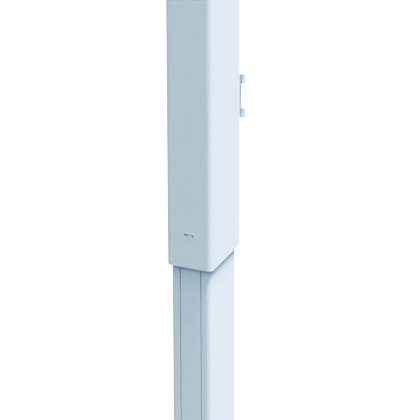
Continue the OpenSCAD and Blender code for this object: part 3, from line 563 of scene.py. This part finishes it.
paintTone = (0.42, 0.64, 0.80)
materials = {
    # levelDustShade greys up-facing faces: partly settled dust, partly painted shade toning down the brightly
    # lit tops
    "painted_light": coatMaterial("housingCoat", paintTone, dust=0.0, levelDustShade=0.85),
    # the mast coat carries painted shade just under the housing
    "painted_mast": coatMaterial("mastCoat", paintTone, dust=0.22, reach=0.28, paintedShade=0.32),
    "base_steel": coatMaterial("baseCoat", (0.07, 0.09, 0.105), gloss=0.5, cloud=0.5, dust=0.25, reach=0.05,
                               levelDustShade=0.15),
    "galvanised": metalMaterial("zincSheet", (0.60, 0.62, 0.64), gloss=0.38, tarnish=0.45),
    "screw_steel": metalMaterial("stainlessScrews", (0.66, 0.67, 0.68), gloss=0.26, tarnish=0.15),
    "chrome_lock": metalMaterial("lockChrome", (0.74, 0.75, 0.77), gloss=0.14, tarnish=0.1),
    "contact_metal": metalMaterial("contactBrass", (0.80, 0.62, 0.30), gloss=0.24, tarnish=0.25),
    "dark_plastic": plasticMaterial("blackMoulding", (0.018, 0.019, 0.021), worn=(0.09, 0.09, 0.1)),
    "grey_plastic": plasticMaterial("greyMoulding", (0.16, 0.18, 0.20), gloss=0.46, worn=(0.38, 0.40, 0.42)),
    "device_plastic": plasticMaterial("deviceShell", (0.66, 0.67, 0.67), gloss=0.4, grain=1300.0),
    "dark_device": plasticMaterial("darkDeviceShell", (0.045, 0.05, 0.058), gloss=0.44, grain=1300.0),
    "lever_plastic": plasticMaterial("leverBlue", (0.010, 0.025, 0.13), gloss=0.24, depth=0.00002),
    "seal": rubberMaterial("sealRubber", (0.012, 0.012, 0.012)),
    "lead_sheath": rubberMaterial("leadSheath", (0.72, 0.16, 0.01)),
    "window": readerMaterial("readerGloss", (0.008, 0.008, 0.010), (0.30, 0.42, 0.50)),
    "lens": lensMaterial("ringLens", (0.80, 0.88, 0.86)),
    "board": boardMaterial("circuitBoard"),
}
# bezel and slider coat: painted light, paler deeper inside the recess
bezelCoat = recessMaterial("bezelCoat", (0.40, 0.60, 0.74), (0.44, 0.64, 0.76))
print("materials made:", len(materials))


# Geometry Nodes: a shape set on points, and a rounded bead along a closed path.

def newTree(name, inputs):
    tree = bpy.data.node_groups.new(name, "GeometryNodeTree")
    sockets = {}
    for label, kind, value in inputs:
        sockets[label] = tree.interface.new_socket(label, in_out="INPUT", socket_type=kind)
        if value is not None:
            sockets[label].default_value = value
    tree.interface.new_socket("Geometry", in_out="OUTPUT", socket_type="NodeSocketGeometry")
    return tree, tree.nodes.new("NodeGroupInput"), tree.nodes.new("NodeGroupOutput"), sockets


def runTree(piece, tree, sockets, values):
    step = piece.modifiers.new(tree.name, "NODES")
    step.node_group = tree
    for label, value in values.items():
        step[sockets[label].identifier] = value
    return settle(piece)


def makeScrewTree():
    # button head with a hexagon socket on each point of the mesh, turned to face along Aim
    tree, start, end, sockets = newTree("buttonScrews", (
        ("Geometry", "NodeSocketGeometry", None), ("Head radius", "NodeSocketFloat", 0.0045),
        ("Head height", "NodeSocketFloat", 0.0025), ("Socket radius", "NodeSocketFloat", 0.0017),
        ("Aim", "NodeSocketVector", (0.0, 0.0, 1.0)), ("Finish", "NodeSocketMaterial", None)))
    dome = addNode(tree, "GeometryNodeMeshUVSphere", {"Segments": 32, "Rings": 16, "Radius": 1.0})
    wide, tall = start.outputs["Head radius"], start.outputs["Head height"]
    shape = addNode(tree, "ShaderNodeCombineXYZ", {"X": wide, "Y": wide, "Z": tall}).outputs[0]
    head = addNode(tree, "GeometryNodeTransform", {"Geometry": dome.outputs["Mesh"], "Scale": shape})
    block = addNode(tree, "GeometryNodeMeshCube", {"Size": (0.05, 0.05, 0.05)})
    below = addNode(tree, "GeometryNodeTransform",
                    {"Geometry": block.outputs["Mesh"], "Translation": (0.0, 0.0, -0.025)})
    hexagon = addNode(tree, "GeometryNodeMeshCylinder",
                      {"Vertices": 6, "Radius": start.outputs["Socket radius"], "Depth": tall})
    lift = addNode(tree, "ShaderNodeCombineXYZ", {"Z": tall}).outputs[0]
    key = addNode(tree, "GeometryNodeTransform",
                  {"Geometry": hexagon.outputs["Mesh"], "Translation": lift})
    cut = addNode(tree, "GeometryNodeMeshBoolean", operation="DIFFERENCE", solver="EXACT")
    tree.links.new(head.outputs[0], cut.inputs["Mesh 1"])
    tree.links.new(below.outputs[0], cut.inputs["Mesh 2"])
    tree.links.new(key.outputs[0], cut.inputs["Mesh 2"])
    turn = addNode(tree, "FunctionNodeAlignRotationToVector", {"Vector": start.outputs["Aim"]}, axis="Z")
    copies = addNode(tree, "GeometryNodeInstanceOnPoints", {
        "Points": start.outputs["Geometry"], "Instance": cut.outputs["Mesh"],
        "Rotation": turn.outputs["Rotation"]})
    real = addNode(tree, "GeometryNodeRealizeInstances", {"Geometry": copies.outputs[0]})
    coloured = addNode(tree, "GeometryNodeSetMaterial",
                       {"Geometry": real.outputs[0], "Material": start.outputs["Finish"]})
    tree.links.new(coloured.outputs[0], end.inputs[0])
    return tree, sockets


def makeBeadTree():
    # weld bead: a round section swept along the closed path, rippled like laid weld
    tree, start, end, sockets = newTree("weldBead", (
        ("Geometry", "NodeSocketGeometry", None), ("Bead radius", "NodeSocketFloat", 0.0032),
        ("Spacing", "NodeSocketFloat", 0.0009), ("Ripple", "NodeSocketFloat", 0.0004),
        ("Finish", "NodeSocketMaterial", None)))
    path = addNode(tree, "GeometryNodeMeshToCurve", {"Mesh": start.outputs["Geometry"]})
    even = addNode(tree, "GeometryNodeResampleCurve",
                   {"Curve": path.outputs[0], "Length": start.outputs["Spacing"]}, mode="LENGTH")
    ring = addNode(tree, "GeometryNodeCurvePrimitiveCircle",
                   {"Resolution": 12, "Radius": start.outputs["Bead radius"]})
    tube = addNode(tree, "GeometryNodeCurveToMesh",
                   {"Curve": even.outputs[0], "Profile Curve": ring.outputs["Curve"]})
    place = addNode(tree, "GeometryNodeInputPosition").outputs[0]
    noise = addNode(tree, "ShaderNodeTexNoise", {"Vector": place, "Scale": 260.0, "Detail": 1.0}).outputs["Fac"]
    swing = calculate(tree, "MULTIPLY", calculate(tree, "SUBTRACT", noise, 0.5), start.outputs["Ripple"])
    out = addNode(tree, "GeometryNodeInputNormal").outputs[0]
    shift = addNode(tree, "ShaderNodeVectorMath", {0: out}, operation="SCALE")
    tree.links.new(swing, shift.inputs["Scale"])
    moved = addNode(tree, "GeometryNodeSetPosition", {"Geometry": tube.outputs[0], "Offset": shift.outputs[0]})
    real = addNode(tree, "GeometryNodeRealizeInstances", {"Geometry": moved.outputs[0]})
    coloured = addNode(tree, "GeometryNodeSetMaterial",
                       {"Geometry": real.outputs[0], "Material": start.outputs["Finish"]})
    tree.links.new(coloured.outputs[0], end.inputs[0])
    return tree, sockets


screwTree = makeScrewTree()
beadTree = makeBeadTree()


def pointCloud(name, points):
    work = bmesh.new()
    for point in points:
        work.verts.new(point)
    return newPiece(name, work)


def closedPath(name, points):
    work = bmesh.new()
    verts = [work.verts.new(p) for p in points]
    for a, b in zip(verts, verts[1:] + verts[:1]):
        work.edges.new((a, b))
    return newPiece(name, work)


# Housing shell: sleeve with a rolled lower edge, the slot, the rear opening and screw holes.

housing = {
    "cornerRadius": 0.0135,
    "wall": 0.003,
    "lowerRound": 0.0024,
    "upperRound": 0.0005,
    "holeEdge": 0.0005,
    "slotRadius": 0.003,
    "slotRim": 0.00115,
    "panelGap": 0.0005,
    "panelRadius": 0.0008,
    "cutReach": 0.01,
    "screwHoleRadius": 0.00255,
}


def sleeveRings(half, radius, wall, low, high, lowRound, highRound):
    rings = []
    lead = 0.001
    outer = [(inset, low + rise) for inset, rise in quarter(lowRound, 8)]
    outer += [(0, low + lowRound + lead), (0, high - highRound - lead)]
    outer += [(inset, high - rise) for inset, rise in quarter(highRound, 4, flip=True)]
    inner = [(wall - 0.0004, high), (wall, high - 0.0004), (wall, low + 0.0004), (wall - 0.0004, low)]
    for inset, height in outer + inner:
        rings.append((outline(half.x - inset, half.y - inset, radius - inset), height))
    return rings


def roundedCutter(name, centre, halfA, halfB, radius, near, far):
    # closed prism along Y, for openings in the front and rear walls
    points = outline(halfA, halfB, radius, 8)
    return loft(name, [(points, near), (points, far)], placeRear(centre))


def rodCutter(name, centre, radius, reach, axis):
    work = bmesh.new()
    bmesh.ops.create_cone(work, cap_ends=True, segments=40, radius1=radius, radius2=radius, depth=2 * reach)
    turn = {"X": Matrix.Rotation(math.pi / 2, 4, "Y"), "Y": Matrix.Rotation(math.pi / 2, 4, "X"),
            "Z": Matrix.Identity(4)}[axis]
    work.transform(Matrix.Translation(centre) @ turn)
    return newPiece(name, work)


def makeHousing(size):
    half = (housingHigh - housingLow) / 2
    piece = loft("housingSleeve", sleeveRings(half, size["cornerRadius"], size["wall"], housingLow.z,
                 housingHigh.z, size["lowerRound"], size["upperRound"]), placeUp((0, 0)), closed=True)
    bezelLow, bezelHigh = span("slot_bezel")
    bezel = (bezelLow + bezelHigh) / 2
    panelLow, panelHigh = span("service_panel")
    panel = (panelLow + panelHigh) / 2
    screwLow, screwHigh = span("housing_screws")
    rim, gap, reach = size["slotRim"], size["panelGap"], size["cutReach"]
    cutters = [
        roundedCutter("slotCutter", bezel, (bezelHigh.x - bezelLow.x) / 2 - rim,
                      (bezelHigh.z - bezelLow.z) / 2 - rim, size["slotRadius"],
                      -half.y - reach, -half.y + reach),
        roundedCutter("panelCutter", panel, (panelHigh.x - panelLow.x) / 2 + gap,
                      (panelHigh.z - panelLow.z) / 2 + gap, size["panelRadius"],
                      half.y - reach, half.y + reach),
    ]
    edge = (screwHigh.z - screwLow.z) / 2
    for y in (screwLow.y + edge, screwHigh.y - edge):
        cutters.append(rodCutter("screwCutter", Vector((0, y, (screwLow.z + screwHigh.z) / 2)),
                                 size["screwHoleRadius"], 0.1, "X"))
    carve(piece, cutters)
    softEdges(piece, size["holeEdge"], 2, angle=40)
    evenShading(piece)
    return dress(piece, materials["painted_light"], "post", "painted_light", "housing_shell")


makeHousing(housing)
print("housing made")


# Mast, strip and foot: extruded section with a channel, welded to the base plate.

foot = {
    "mastRadius": 0.012,
    "beadRadius": 0.0030,
    "beadSink": 0.0006,
    "mastEdge": 0.0007,
    "stripEdge": 0.0006,
    "plateEdge": 0.0012,
    "beadGap": 0.0025,
}


def makeFoot(size):
    for node, edge in (("mast", size["mastEdge"]), ("cable_cover_strip", size["stripEdge"]),
                       ("base_plate", size["plateEdge"])):
        dress(refine(node, edge, 3), materials[slotOf[node]], "post", slotOf[node], node)
    half = (mastHigh - mastLow) / 2
    sunk = size["beadSink"]
    route = outline(half.x + sunk, half.y + sunk, size["mastRadius"] + sunk, 10)
    channel = span("cable_cover_strip")[1].x + size["beadGap"]  # the bead stops at the channel
    front = [p for p in route if not (p.y < 0 and abs(p.x) < channel)]
    bead = closedPath("footWeld", [Vector((p.x, p.y, mastLow.z + sunk)) for p in front])
    runTree(bead, *beadTree, {"Bead radius": size["beadRadius"], "Finish": materials["base_steel"]})
    bead.data.shade_smooth()
    dress(bead, materials["base_steel"], "post", "base_steel")


makeFoot(foot)
print("mast and foot made")


# Cap and light ring.

top = {
    "capRadius": 0.0135,
    "capRound": 0.0062,
    "capUnder": 0.0006,
    "capCrown": 0.0012,
    "crownInsets": (0.012, 0.024, 0.040, 0.054),
    "bossRadius": 0.006,
    "bossY": 0.035,
    "bossHoleRadius": 0.00255,
    "bossHoleReach": 0.023,
    "ringInset": 0.001,
    "ringWall": 0.004,
    "flangeThick": 0.002,
    "flangeInset": 0.0148,
    "flutes": 3,
    "fluteDepth": 0.00035,
}


def makeCap(size):
    low, high = span("top_cap")
    ringTop = span("light_ring")[1].z
    half = (high - low) / 2
    round_ = size["capRound"]
    crown = size["capCrown"]
    edgeTop = high.z - crown
    rings = [(size["capUnder"], ringTop), (0, ringTop + size["capUnder"])]
    rings += [(0, ringTop + 0.0016), (0, edgeTop - round_ - 0.001)]
    rings += [(inset, edgeTop - rise) for inset, rise in quarter(round_, 10, flip=True)]
    last = size["crownInsets"][-1]
    rings += [(inset, edgeTop + crown * (1 - (1 - inset / last) ** 2)) for inset in size["crownInsets"]]
    rings = [(outline(half.x - inset, half.y - inset, max(size["capRadius"] - inset, 0.003)), height)
             for inset, height in rings]
    piece = loft("capShell", rings, placeUp((0, 0)))
    bosses = []
    for y in (-size["bossY"], size["bossY"]):
        boss = [(circle(size["bossRadius"]), low.z), (circle(size["bossRadius"]), ringTop + 0.002)]
        bosses.append(loft("capBoss", boss, placeUp((0, y))))
    joinInto(piece, bosses)
    carve(piece, [rodCutter("bossCutter", Vector((0, y, low.z)), size["bossHoleRadius"],
                            size["bossHoleReach"], "Z") for y in (-size["bossY"], size["bossY"])])
    evenShading(piece)
    dress(piece, materials["painted_light"], "post", "painted_light", "top_cap")


def makeLightRing(size):
    low, high = span("light_ring")
    half = (high - low) / 2
    radius = size["capRadius"] - size["ringInset"]
    wall, flange = size["ringWall"], size["flangeThick"]
    path = [(0.0004, low.z), (0, low.z + 0.0004)]
    steps = 6 * size["flutes"]
    for i in range(1, steps):  # shallow flutes round the outside
        height = low.z + 0.001 + (high.z - low.z - 0.002) * i / steps
        wave = 0.5 - 0.5 * math.cos(2 * math.pi * size["flutes"] * i / steps)
        path.append((size["fluteDepth"] * wave, height))
    path += [(0, high.z - 0.0004), (0.0004, high.z), (wall - 0.0004, high.z), (wall, high.z - 0.0004)]
    path += [(wall, low.z + flange), (size["flangeInset"], low.z + flange), (size["flangeInset"], low.z)]
    rings = [(outline(half.x - inset, half.y - inset, max(radius - inset, 0.002)), height)
             for inset, height in path]
    piece = loft("statusRing", rings, placeUp((0, 0)), closed=True)
    evenShading(piece, 50)
    dress(piece, materials["lens"], "post", "lens", "light_ring")


makeCap(top)
makeLightRing(top)
print("cap and light ring made")


# Screws: heads by Geometry Nodes, tapered shanks, one piece for each group.

screws = {
    "shankRadius": 0.0025,
    "socketRadius": 0.0018,
    "headRadius": 0.0044,
    "headHeight": 0.0023,
    "sideLength": 0.012,
    "tipShare": 0.86,
    "cornerShare": 1.7,
}


def screwHeads(name, heads, aim, radius, height, finish):
    cloud = pointCloud(name, heads)
    return runTree(cloud, *screwTree, {
        "Head radius": radius, "Head height": height, "Socket radius": screws["socketRadius"],
        "Aim": tuple(aim), "Finish": finish})


def makeScrews(node, rows, length):
    # rows: (head places, aim, head radius, head height); shanks run back from the heads
    finish = materials[slotOf[node]]
    shank = screws["shankRadius"]
    work = bmesh.new()
    for heads, aim, radius, height in rows:
        aim = Vector(aim)
        cloud = screwHeads("headRow", heads, aim, radius, height, finish)
        work.from_mesh(cloud.data)
        dropPiece(cloud)
        turn = aim.to_track_quat("Z", "Y").to_matrix().to_4x4()
        for head in heads:
            place = Matrix.Translation(Vector(head) - aim * (length / 2)) @ turn
            bmesh.ops.create_cone(work, cap_ends=True, segments=28, radius1=shank * screws["tipShare"],
                                  radius2=shank, depth=length, matrix=place)
    piece = evenShading(newPiece(pieceName(node), work))
    dress(piece, finish, bodyOf[node], slotOf[node], node)


def makeAllScrews(size):
    low, high = span("housing_screws")
    edge = (high.z - low.z) / 2
    z = (low.z + high.z) / 2
    rows = []
    for sign, face in ((1, housingHigh.x), (-1, housingLow.x)):
        heads = [(face, y, z) for y in (low.y + edge, high.y - edge)]
        rows.append((heads, (sign, 0, 0), edge, abs(high.x - housingHigh.x)))
    makeScrews("housing_screws", rows, size["sideLength"])
    socketLow, socketHigh = span("socket_screws")
    headY = span("socket_body")[1].y
    spread = (socketHigh.x - socketLow.x) / 2 - size["shankRadius"] * size["cornerShare"]
    centre = middle("socket_screws")
    heads = [(sx * spread, headY, centre.z + sz * spread) for sx in (-1, 1) for sz in (-1, 1)]
    makeScrews("socket_screws", [(heads, (0, 1, 0), size["headRadius"], size["headHeight"])],
               headY - socketLow.y)


makeAllScrews(screws)
print("screws made")


# Outlet lid on the rear face, with its arms, hinge knuckles and finger scoop.

lid = {
    "wall": 0.0025,
    "corner": 0.008,
    "edgeRound": 0.0055,
    "crown": 0.0009,
    "innerInset": 0.040,
    "flatInset": 0.004,
    "knuckleRadius": 0.0045,
    "knuckleTall": 0.017,
    "pinRadius": 0.00205,
    "armEdge": 0.0006,
    "armShorter": 0.003,
    "armStart": 0.002,
    "scoopRadius": 0.016,
    "scoopDepth": 0.0020,
    "scoopInset": 0.0095,
    "scoopShape": (0.55, 0.6, 1.3),
}


def makeLid(size):
    high = span("outlet_lid")[1]
    gasketLow, gasketHigh = span("lid_gasket")
    half = (gasketHigh - gasketLow) / 2
    centre = (gasketLow + gasketHigh) / 2
    rim, face = gasketHigh.y, high.y
    wall, round_ = size["wall"], size["edgeRound"]
    edgeFace = face - size["crown"]
    innerFace = edgeFace - wall
    inner = [(size["innerInset"], innerFace), (wall + 0.006, innerFace), (wall + 0.0025, innerFace - 0.0006),
             (wall, innerFace - 0.003), (wall, rim + 0.0004), (wall - 0.0004, rim)]
    outer = [(0.0004, rim), (0, rim + 0.0004), (0, edgeFace - round_ - 0.0005)]
    outer += [(inset, edgeFace - rise) for inset, rise in quarter(round_, 10, flip=True)]
    reach = half.x - size["flatInset"]
    for step in range(1, 7):
        inset = round_ + (reach - round_) * step / 6
        outer.append((inset, edgeFace + size["crown"] * (1 - (1 - step / 6) ** 2)))
    rings = []
    for inset, height in inner + outer:
        rings.append((outline(half.x - inset, half.z - inset, max(size["corner"] - inset, 0.002)), height))
    piece = loft("outletLidShell", rings, placeRear(centre))
    pins = span("hinge_pins")
    pin = Vector(((pins[0].x + pins[1].x) / 2, (pins[0].y + pins[1].y) / 2, 0))
    knuckleTop, knuckleTall = high.z, size["knuckleTall"]
    parts, holes = [], []
    for sign in (-1, 1):
        z = centre.z + sign * (knuckleTop - centre.z - knuckleTall / 2)
        armHalf = (knuckleTall - size["armShorter"]) / 2
        armZ = z - sign * size["armShorter"] / 2
        arm = roundBox("lidArm", (half.x - size["armStart"], rim + 0.0003, armZ - armHalf),
                       (pin.x + 0.0005, pin.y + size["knuckleRadius"], armZ + armHalf), size["armEdge"])
        barrel = [(circle(size["knuckleRadius"] - 0.0004), z - knuckleTall / 2),
                  (circle(size["knuckleRadius"]), z - knuckleTall / 2 + 0.0004),
                  (circle(size["knuckleRadius"]), z + knuckleTall / 2 - 0.0004),
                  (circle(size["knuckleRadius"] - 0.0004), z + knuckleTall / 2)]
        parts += [arm, loft("lidKnuckle", barrel, placeUp(pin))]
        holes.append(rodCutter("pinCutter", Vector((pin.x, pin.y, z)), size["pinRadius"], 0.012, "Z"))
    joinInto(piece, parts)
    scoop = bmesh.new()
    bmesh.ops.create_uvsphere(scoop, u_segments=48, v_segments=24, radius=size["scoopRadius"])
    shape = size["scoopShape"]
    scoopY = face + size["scoopRadius"] * shape[1] - size["scoopDepth"]
    scoop.transform(Matrix.Translation((size["scoopInset"] - half.x, scoopY, centre.z))
                    @ Matrix.Diagonal((*shape, 1)))
    carve(piece, holes + [newPiece("scoopCutter", scoop)])
    evenShading(piece)
    dress(piece, materials["painted_light"], "lid", "painted_light", "outlet_lid")


def roundBox(name, low, high, width, segments=3):
    work = bmesh.new()
    bmesh.ops.create_cube(work, size=1)
    low, high = Vector(low), Vector(high)
    work.transform(Matrix.Translation((low + high) / 2) @ Matrix.Diagonal((*(high - low), 1)))
    bmesh.ops.bevel(work, geom=work.edges[:], offset=width, segments=segments, profile=0.5, affect="EDGES")
    return newPiece(name, work)


makeLid(lid)
print("lid made")


# Release slot: a bezel that sits almost flush, and a slider whose dust plate closes the slit behind it.

release = {
    "rimProud": 0.00045,
    "bezelEdge": 0.0004,
    "plateThick": 0.0008,
    "plateHalfHeight": 0.0031,
    "plateInset": 0.0006,
}


def makeRelease(size):
    work = bmesh.new()
    work.from_mesh(nodes["slot_bezel"].data)
    face = span("housing_shell")[0].y
    for vert in work.verts:
        if vert.co.y < face - 0.0002:
            vert.co.y = face - size["rimProud"]
    bezel = softEdges(newPiece("slotBezelFine", work), size["bezelEdge"], 3)
    dress(evenShading(bezel), bezelCoat, "post", slotOf["slot_bezel"], "slot_bezel")
    cupLow = span("slot_bezel")[0]
    padLow, padHigh = span("release_slider")
    centre = middle("slot_bezel")
    slider = refine("release_slider", 0.0003)
    plate = roundBox("dustPlate", (cupLow.x + size["plateInset"], padHigh.y - size["plateThick"],
                                   centre.z - size["plateHalfHeight"]),
                     (padLow.x + 0.001, padHigh.y - 0.0001, centre.z + size["plateHalfHeight"]), 0.0002)
    joinInto(slider, [plate])
    dress(evenShading(slider), bezelCoat, "slider", slotOf["release_slider"], "release_slider")


makeRelease(release)
print("release slot made")


# Everything else keeps its CAD shape, with its edges rounded to the size a maker would give them.

edgeWidths = {
    "closing_collar": 0.0004, "head_plate": 0.0005, "head_screws": 0.0004, "earth_stud": 0.0005,
    "light_board": 0.0002, "cap_screws": 0.0004, "upper_bracket": 0.0006,
    "chassis_plate": 0.0004, "chassis_screws": 0.0005, "din_rails": 0.0002, "terminal_block": 0.0005,
    "breaker_body": 0.0007, "breaker_lever": 0.0005, "contactor": 0.0007, "energy_meter": 0.0007,
    "charge_controller": 0.0007, "power_supply": 0.0007, "modem": 0.0006, "antenna": 0.0006,
    "panel_frame": 0.0004, "panel_gasket": 0.0002, "service_panel": 0.0004, "lower_lock_barrel": 0.0005,
    "lower_lock_rotor": 0.0003, "upper_lock_barrel": 0.0005, "upper_lock_rotor": 0.0003,
    "lock_nuts": 0.0004, "reader_window": 0.0007, "reader_board": 0.0002, "latch_keeper": 0.0004,
    "outlet_frame": 0.0006, "outlet_clamps": 0.0004, "socket_body": 0.0006,
    "socket_insert": 0.0005, "socket_contacts": 0.0003, "socket_nuts": 0.0003, "lock_actuator": 0.0006,
    "lock_pin": 0.0004, "hinge_pins": 0.0003, "lid_gasket": 0.0003, "socket_lead": 0.0001,
}

for node, width in edgeWidths.items():
    dress(refine(node, width), materials[slotOf[node]], bodyOf[node], slotOf[node], node)
print("fine pieces made:", len(edgeWidths))


# Stage: a wide pale floor and soft, distant lamps, most of the light coming from high above.

stage = {
    "floorHalf": 40.0,
    "floorShade": 0.8,
    "floorGlow": 11.0,
    "floorBounce": 0.012,
    "skyColour": (1.0, 0.97, 0.93),
    "skyStrength": 0.24,
    "lamps": (
        # azimuth from the front, elevation, width in degrees, strength, colour
        (90.0, 54.0, 50.0, 7.5, (0.65, 0.75, 1.0)),
        (106.0, 74.0, 18.0, 98.0, (0.65, 0.75, 1.0)),
        (-12.0, 50.0, 40.0, 5.1, (0.68, 0.92, 0.97)),
        (212.0, 38.0, 50.0, 5.6, (0.86, 0.94, 1.0)),
    ),
}


def makeStage(size):
    work = bmesh.new()
    bmesh.ops.create_grid(work, x_segments=1, y_segments=1, size=size["floorHalf"])
    floor = newPiece("floor", work)
    material = bpy.data.materials.new("paleFloor")
    material.use_nodes = True
    tree = material.node_tree
    tree.nodes.clear()
    seen = addNode(tree, "ShaderNodeLightPath").outputs["Is Camera Ray"]
    shade, bounce = size["floorShade"], size["floorBounce"]
    tone = blendColour(tree, seen, (bounce, bounce, bounce, 1), (shade, shade, shade, 1))
    matt = addNode(tree, "ShaderNodeBsdfDiffuse", {"Color": tone})
    glow = addNode(tree, "ShaderNodeEmission", {"Color": (1, 1, 1, 1)})
    tree.links.new(calculate(tree, "MULTIPLY", seen, size["floorGlow"]), glow.inputs["Strength"])
    both = addNode(tree, "ShaderNodeAddShader", {0: matt.outputs[0], 1: glow.outputs[0]})
    out = addNode(tree, "ShaderNodeOutputMaterial")
    tree.links.new(both.outputs[0], out.inputs["Surface"])
    floor.data.materials.append(material)
    world = bpy.data.worlds.new("softSky")
    world.use_nodes = True
    sky = world.node_tree.nodes["Background"]
    sky.inputs["Color"].default_value = (*size["skyColour"], 1)
    sky.inputs["Strength"].default_value = size["skyStrength"]
    scene.world = world
    for index, (azimuth, elevation, width, strength, colour) in enumerate(size["lamps"]):
        turn, tilt = math.radians(azimuth), math.radians(elevation)
        toward = Vector((math.sin(turn) * math.cos(tilt), -math.cos(turn) * math.cos(tilt), math.sin(tilt)))
        data = bpy.data.lights.new(f"softLamp{index}", "SUN")
        data.angle = math.radians(width)
        data.energy = strength
        data.color = colour
        lamp = bpy.data.objects.new(f"softLamp{index}", data)
        lamp.location = toward * 8
        lamp.rotation_mode = "QUATERNION"
        lamp.rotation_quaternion = toward.to_track_quat("Z", "Y")
        scene.collection.objects.link(lamp)


makeStage(stage)
print("stage made")
